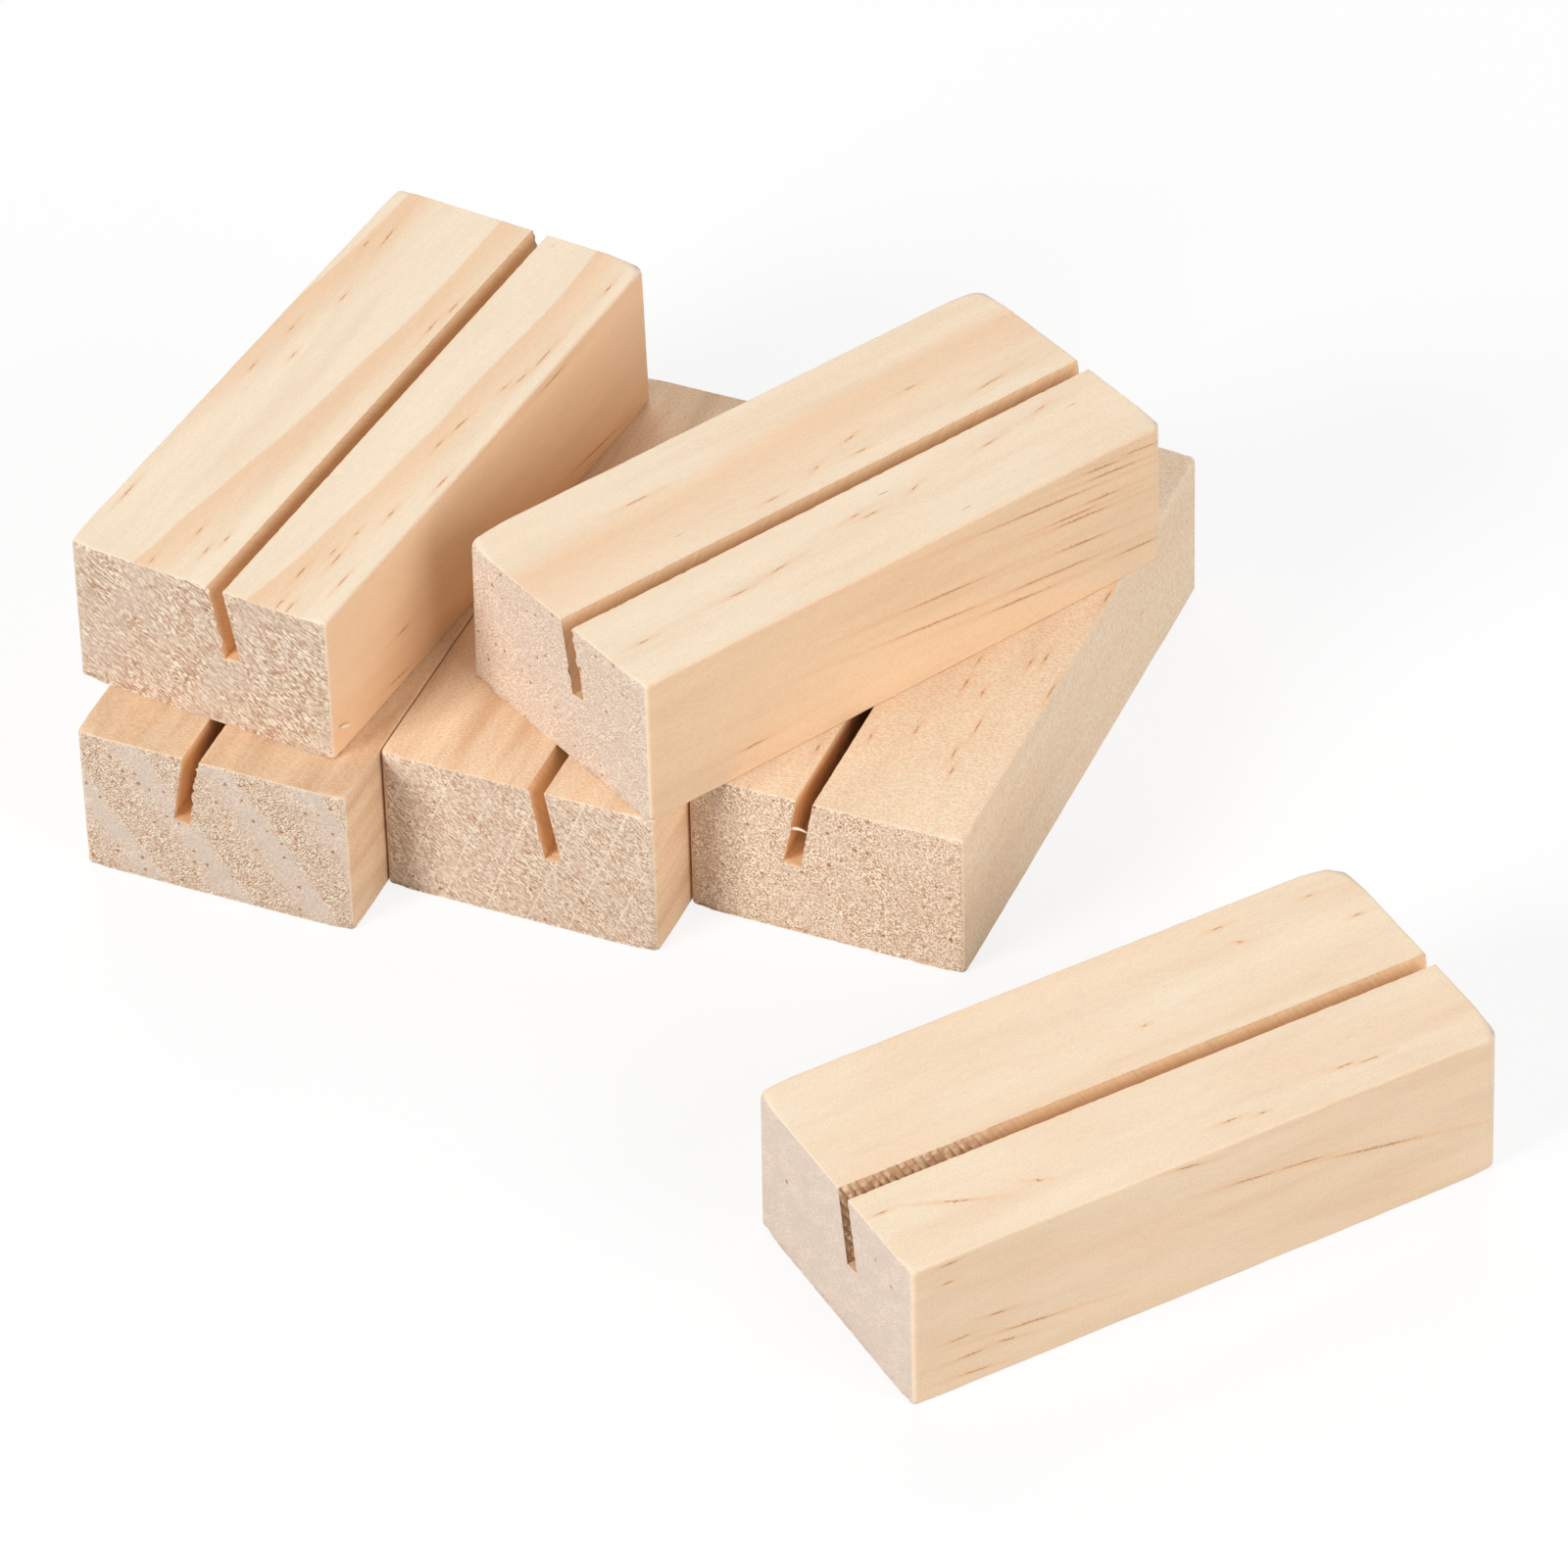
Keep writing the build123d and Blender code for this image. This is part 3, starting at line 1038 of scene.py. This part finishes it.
class PineSettings(bpy.types.PropertyGroup):
    """Colours of bare sanded pine."""

    early: colour_setting("Early Wood", "Pale spring growth", 246, 227, 200)
    late: colour_setting("Late Wood", "Tan summer growth", 238, 188, 141)
    side: colour_setting("Side", "Peach of the flat-sawn sides", 249, 211, 171)
    end: colour_setting("End Grain", "Sawn ends", 235, 207, 183)
    # Torn end grain, torn fibre and pit are partly painted shade in the gaps and holes and painted highlight
    # on the fibres
    torn: colour_setting("Torn End Grain", "Between the torn fibres", 186, 136, 98)
    fibre: colour_setting("Torn Fibre", "Fibres that the saw left standing", 255, 243, 222)
    pit: colour_setting("Pit", "Holes where fibres came away, and dots on the ends", 160, 108, 66)
    grey: colour_setting("Late End Grain", "Late wood on the ends", 225, 208, 194)
    slot: colour_setting("Slot", "Walls of the saw cut", 249, 206, 158)
    # Worn edge is pale wear, and also the painted highlight on eased edges and on the chatter's crests
    worn: colour_setting("Worn Edge", "Eased edges and loose fibres", 250, 236, 214)
    # Resin also paints the shade in the gouges of the blade's chatter
    resin: colour_setting("Resin", "Streaks of the resin ducts", 172, 106, 62)
    halo: colour_setting("Resin Stain", "Wood beside a resin streak", 240, 190, 140)


class StageSettings(bpy.types.PropertyGroup):
    """The camera and the light round the set."""

    target: vector_setting("Target", "Where the camera looks", (25.28 * MM, -6.195 * MM, 0), "TRANSLATION")
    distance: length_setting("Distance", "From the camera to its target", 1.4687)
    azimuth: angle_setting("Azimuth", "Camera's turn to the right of the row", radians(23.602))
    elevation: angle_setting("Elevation", "Camera's height over the floor", radians(40.454))
    roll: angle_setting("Roll", "Camera's turn about its own view", radians(-1.692))
    lens: number_setting("Lens", "Focal length in millimetres", 216.45)
    sky: number_setting("Sky", "Strength of the even light", 0.25)
    left_light: power_setting("Left Light", "Watts of the soft light in front on the left", 34.5)
    right_light: power_setting("Right Light", "Watts of the soft light on the right", 22.5)
    back_light: power_setting("Back Light", "Watts of the soft light behind", 14.8)
    floor: vector_setting("Floor", "Colour of the floor", (0.55, 0.547, 0.543), "COLOR")


class PhotoBlockSettings(bpy.types.PropertyGroup):
    """All that a user would change."""

    block: bpy.props.PointerProperty(type=BlockSettings)
    pine: bpy.props.PointerProperty(type=PineSettings)
    stage: bpy.props.PointerProperty(type=StageSettings)


class PHOTOBLOCKS_OT_saw_block(bpy.types.Operator):
    """Saw one slotted pine block and lay it where the frame has it"""

    bl_idname = "photo_blocks.saw_block"
    bl_label = "Saw Block"

    block: bpy.props.StringProperty(
        name="Block", description="The body that the block is", default=SQUARE_BLOCK
    )

    def execute(self, context):
        settings = context.scene.photo_blocks.block
        timber = TIMBERS[self.block]
        corner, turn = resting_place(self.block)
        tree = bpy.data.node_groups.get("sawn_pine_block") or block_tree()
        splinter = [Vector(point) * MM for point in timber.splinter] or [Vector()] * 3
        values = {f"Knock {name}": knock * MM for name, knock in zip(CORNERS, timber.knocks)}
        values |= {
            "End Roughness": settings.end_roughness * timber.fuzz,
            "Stroke Lean": radians(timber.stroke_lean),
            "Saw Chatter": timber.chatter * MM,
            "Left Burr": timber.burrs[0] * MM,
            "Right Burr": timber.burrs[1] * MM,
            "Splinter Radius": settings.splinter_radius if timber.splinter else 0.0,
            "Splinter Start": splinter[0],
            "Splinter Middle": splinter[1],
            "Splinter End": splinter[2],
            "Saw Slant": timber.saw_slant,
            "End Fibres": settings.end_fibres * timber.fuzz,
            "Lip Fibres": settings.lip_fibres * timber.lip_hair,
            "Seed": timber.seed,
            "Corner": corner,
            "Turn": turn,
            "Material": pine_material(self.block, timber, corner, turn),
        }
        name = f"{self.block}_holder"
        piece = bpy.data.objects.new(name, bpy.data.meshes.new(name))
        context.scene.collection.objects.link(piece)
        modifier = piece.modifiers.new("Saw", "NODES")
        modifier.node_group = tree
        for item in tree.interface.items_tree:
            if item.in_out == "INPUT":
                value = values.get(item.name)
                if value is None:
                    value = getattr(settings, item.name.lower().replace(" ", "_"))
                modifier[item.identifier] = value
        context.view_layer.update()
        evaluated = piece.evaluated_get(context.evaluated_depsgraph_get())
        mesh = bpy.data.meshes.new_from_object(evaluated)
        if not mesh.polygons:
            raise RuntimeError(f"the tree made no faces for {self.block}")
        piece.modifiers.clear()
        piece.data = mesh
        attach(piece, self.block)
        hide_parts(f"{self.block}_block")
        return {"FINISHED"}


class PHOTOBLOCKS_OT_set_stage(bpy.types.Operator):
    """Lay a pale floor under the blocks, light them softly and set the camera"""

    bl_idname = "photo_blocks.set_stage"
    bl_label = "Set Stage"

    def execute(self, context):
        stage = context.scene.photo_blocks.stage
        context.scene.view_settings.view_transform = "Standard"
        self.lay_floor(context, stage)
        self.light(context, stage)
        self.aim_camera(context, stage)
        return {"FINISHED"}

    @staticmethod
    def seen_white(sheet):
        """1 for a ray that shows the background: from the camera, or off or through something clear."""
        outputs = "Is Camera Ray", "Is Glossy Ray", "Is Transmission Ray"
        camera, glossy, through = sheet.add("ShaderNodeLightPath", None, None, outputs)
        return camera.most(glossy).most(through)

    def lay_floor(self, context, stage):
        mesh = bpy.data.meshes.new("stage_floor")
        turns = (-1, -1), (1, -1), (1, 1), (-1, 1)
        corners = [(across * FLOOR_REACH, along * FLOOR_REACH, 0) for across, along in turns]
        mesh.from_pydata(corners, [], [(0, 1, 2, 3)])
        floor = bpy.data.objects.new("stage_floor", mesh)
        context.scene.collection.objects.link(floor)
        material = bpy.data.materials.new("pale_floor")
        material.use_nodes = True
        material.node_tree.nodes.clear()
        sheet = Sheet(material.node_tree)
        matt = sheet.add("ShaderNodeBsdfDiffuse", None, {"Color": (*stage.floor, 1)})
        white = sheet.add("ShaderNodeEmission", None, {"Color": (1, 1, 1, 1), "Strength": FLOOR_GLOW})
        share = self.seen_white(sheet) * FLOOR_GLOW_SHARE
        shown = sheet.add("ShaderNodeMixShader", None, {0: share, 1: matt, 2: white})
        sheet.add("ShaderNodeOutputMaterial", None, {"Surface": shown})
        mesh.materials.append(material)

    def light(self, context, stage):
        world = bpy.data.worlds.new("soft_studio")
        world.use_nodes = True
        world.node_tree.nodes.clear()
        sheet = Sheet(world.node_tree)
        sky = sheet.add("ShaderNodeBackground", None, {"Color": (1, 1, 1, 1), "Strength": stage.sky})
        white = sheet.add("ShaderNodeBackground", None, {"Color": (1, 1, 1, 1), "Strength": 1.0})
        shown = sheet.add("ShaderNodeMixShader", None, {0: self.seen_white(sheet), 1: sky, 2: white})
        sheet.add("ShaderNodeOutputWorld", None, {"Surface": shown})
        context.scene.world = world

        for name, power, (azimuth, elevation, breadth) in (
            ("left_softbox", stage.left_light, LEFT_LIGHT),
            ("right_softbox", stage.right_light, RIGHT_LIGHT),
            ("back_softbox", stage.back_light, BACK_LIGHT),
        ):
            lamp = bpy.data.lights.new(name, "AREA")
            lamp.shape = "SQUARE"
            lamp.size = breadth
            lamp.energy = power
            softbox = bpy.data.objects.new(name, lamp)
            level = Vector((sin(azimuth), -cos(azimuth), 0)) * cos(elevation)
            away = level + Vector((0, 0, sin(elevation)))
            softbox.location = away * LIGHT_DISTANCE
            softbox.rotation_euler = away.to_track_quat("Z", "Y").to_euler()
            context.scene.collection.objects.link(softbox)

    def aim_camera(self, context, stage):
        right = Vector((cos(stage.azimuth), sin(stage.azimuth), 0))
        ahead = Vector((-sin(stage.azimuth), cos(stage.azimuth), 0))
        back = Vector((0, 0, sin(stage.elevation))) - ahead * cos(stage.elevation)
        up = back.cross(right)
        turned_right = right * cos(stage.roll) + up * sin(stage.roll)
        turned_up = up * cos(stage.roll) - right * sin(stage.roll)
        data = bpy.data.cameras.new("camera")
        data.sensor_width = SENSOR_WIDTH
        data.sensor_fit = "HORIZONTAL"
        data.lens = stage.lens
        data.clip_end = VIEW_REACH
        camera = bpy.data.objects.new("camera", data)
        turn = Matrix((turned_right, turned_up, back)).transposed().to_4x4()
        camera.matrix_world = Matrix.Translation(Vector(stage.target) + back * stage.distance) @ turn
        context.scene.collection.objects.link(camera)
        context.scene.camera = camera


class PHOTOBLOCKS_PT_panel(bpy.types.Panel):
    """Lists the set's steps and sizes"""

    bl_label = "Photo Blocks"
    bl_idname = "PHOTOBLOCKS_PT_panel"
    bl_space_type = "VIEW_3D"
    bl_region_type = "UI"
    bl_category = "Photo Blocks"

    def draw(self, context):
        settings = context.scene.photo_blocks
        for name in TIMBERS:
            self.layout.operator(PHOTOBLOCKS_OT_saw_block.bl_idname, text=f"Saw {name}").block = name
        self.layout.operator(PHOTOBLOCKS_OT_set_stage.bl_idname)
        for group in (settings.block, settings.pine, settings.stage):
            column = self.layout.column(align=True)
            for name in group.__annotations__:
                column.prop(group, name)


CLASSES = (
    BlockSettings,
    PineSettings,
    StageSettings,
    PhotoBlockSettings,
    PHOTOBLOCKS_OT_saw_block,
    PHOTOBLOCKS_OT_set_stage,
    PHOTOBLOCKS_PT_panel,
)


def register():
    for cls in CLASSES:
        bpy.utils.register_class(cls)
    bpy.types.Scene.photo_blocks = bpy.props.PointerProperty(type=PhotoBlockSettings)


def unregister():
    del bpy.types.Scene.photo_blocks
    for cls in reversed(CLASSES):
        bpy.utils.unregister_class(cls)


def main():
    register()
    for name in TIMBERS:
        bpy.ops.photo_blocks.saw_block(block=name)
    bpy.ops.photo_blocks.set_stage()


if __name__ == "__main__":
    main()
